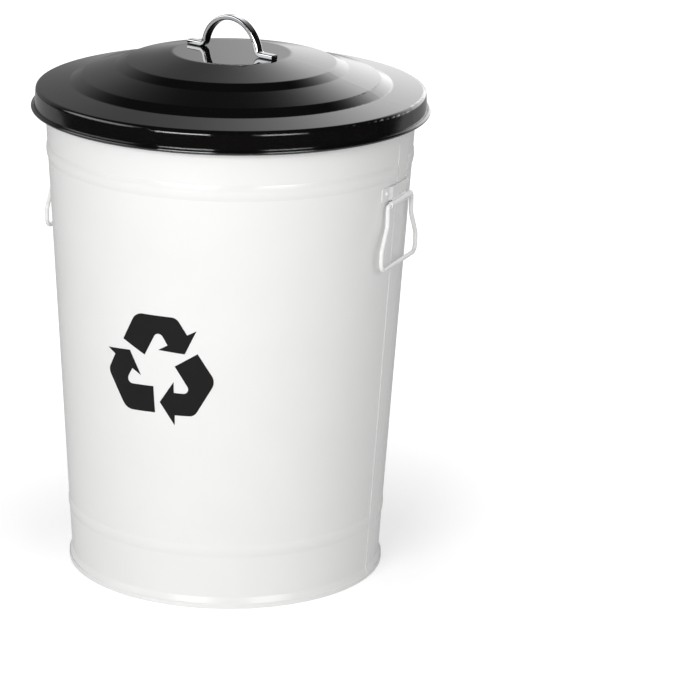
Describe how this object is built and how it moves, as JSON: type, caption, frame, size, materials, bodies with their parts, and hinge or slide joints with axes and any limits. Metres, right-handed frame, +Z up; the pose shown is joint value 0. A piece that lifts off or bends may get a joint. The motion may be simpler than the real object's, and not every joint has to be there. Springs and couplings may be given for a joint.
{
  "type": "lift-off lid trash can",
  "caption": "Round tapered steel trash can with a stepped lift-off lid, a strap handle on the lid and a swinging wire bail on each side.",
  "frame": {"origin": "centre of the can's foot, on the floor", "axes": "+Z up along the can's axis; the two side bails are on +X and -X, and the printed recycling sign faces -Y"},
  "size_m": [0.3959, 0.396, 0.5639],
  "materials": {
    "can_enamel": "white powder coat, satin gloss",
    "fitting_enamel": "white powder coat over stamped steel",
    "bail_enamel": "white coated wire",
    "lid_gloss": "high-gloss black enamel",
    "handle_chrome": "polished chrome plate",
    "zinc": "bright zinc plate"
  },
  "bodies": {
    "can": {"body_wall": "can_enamel", "base_pan": "can_enamel", "bracket_right": "fitting_enamel", "bracket_left": "fitting_enamel", "bracket_rivets_right": "fitting_enamel", "bracket_rivets_left": "fitting_enamel"},
    "lid": {"lid_shell": "lid_gloss", "lid_handle": "handle_chrome", "lid_handle_washers": "zinc", "lid_handle_nuts": "zinc"},
    "right_bail": {"bail_right": "bail_enamel"},
    "left_bail": {"bail_left": "bail_enamel"}
  },
  "joints": [
    {"name": "lid_lift", "type": "slide", "parent": "can", "child": "lid", "axis": [0, 0, 1], "range_m": [0, 0.15]},
    {"name": "right_bail_hinge", "type": "hinge", "parent": "can", "child": "right_bail", "pos_m": [0.1829, 0, 0.3988], "axis": [0, -1, 0], "range_deg": [-3, 165]},
    {"name": "left_bail_hinge", "type": "hinge", "parent": "can", "child": "left_bail", "pos_m": [-0.1829, 0, 0.3988], "axis": [0, 1, 0], "range_deg": [-3, 165]}
  ]
}
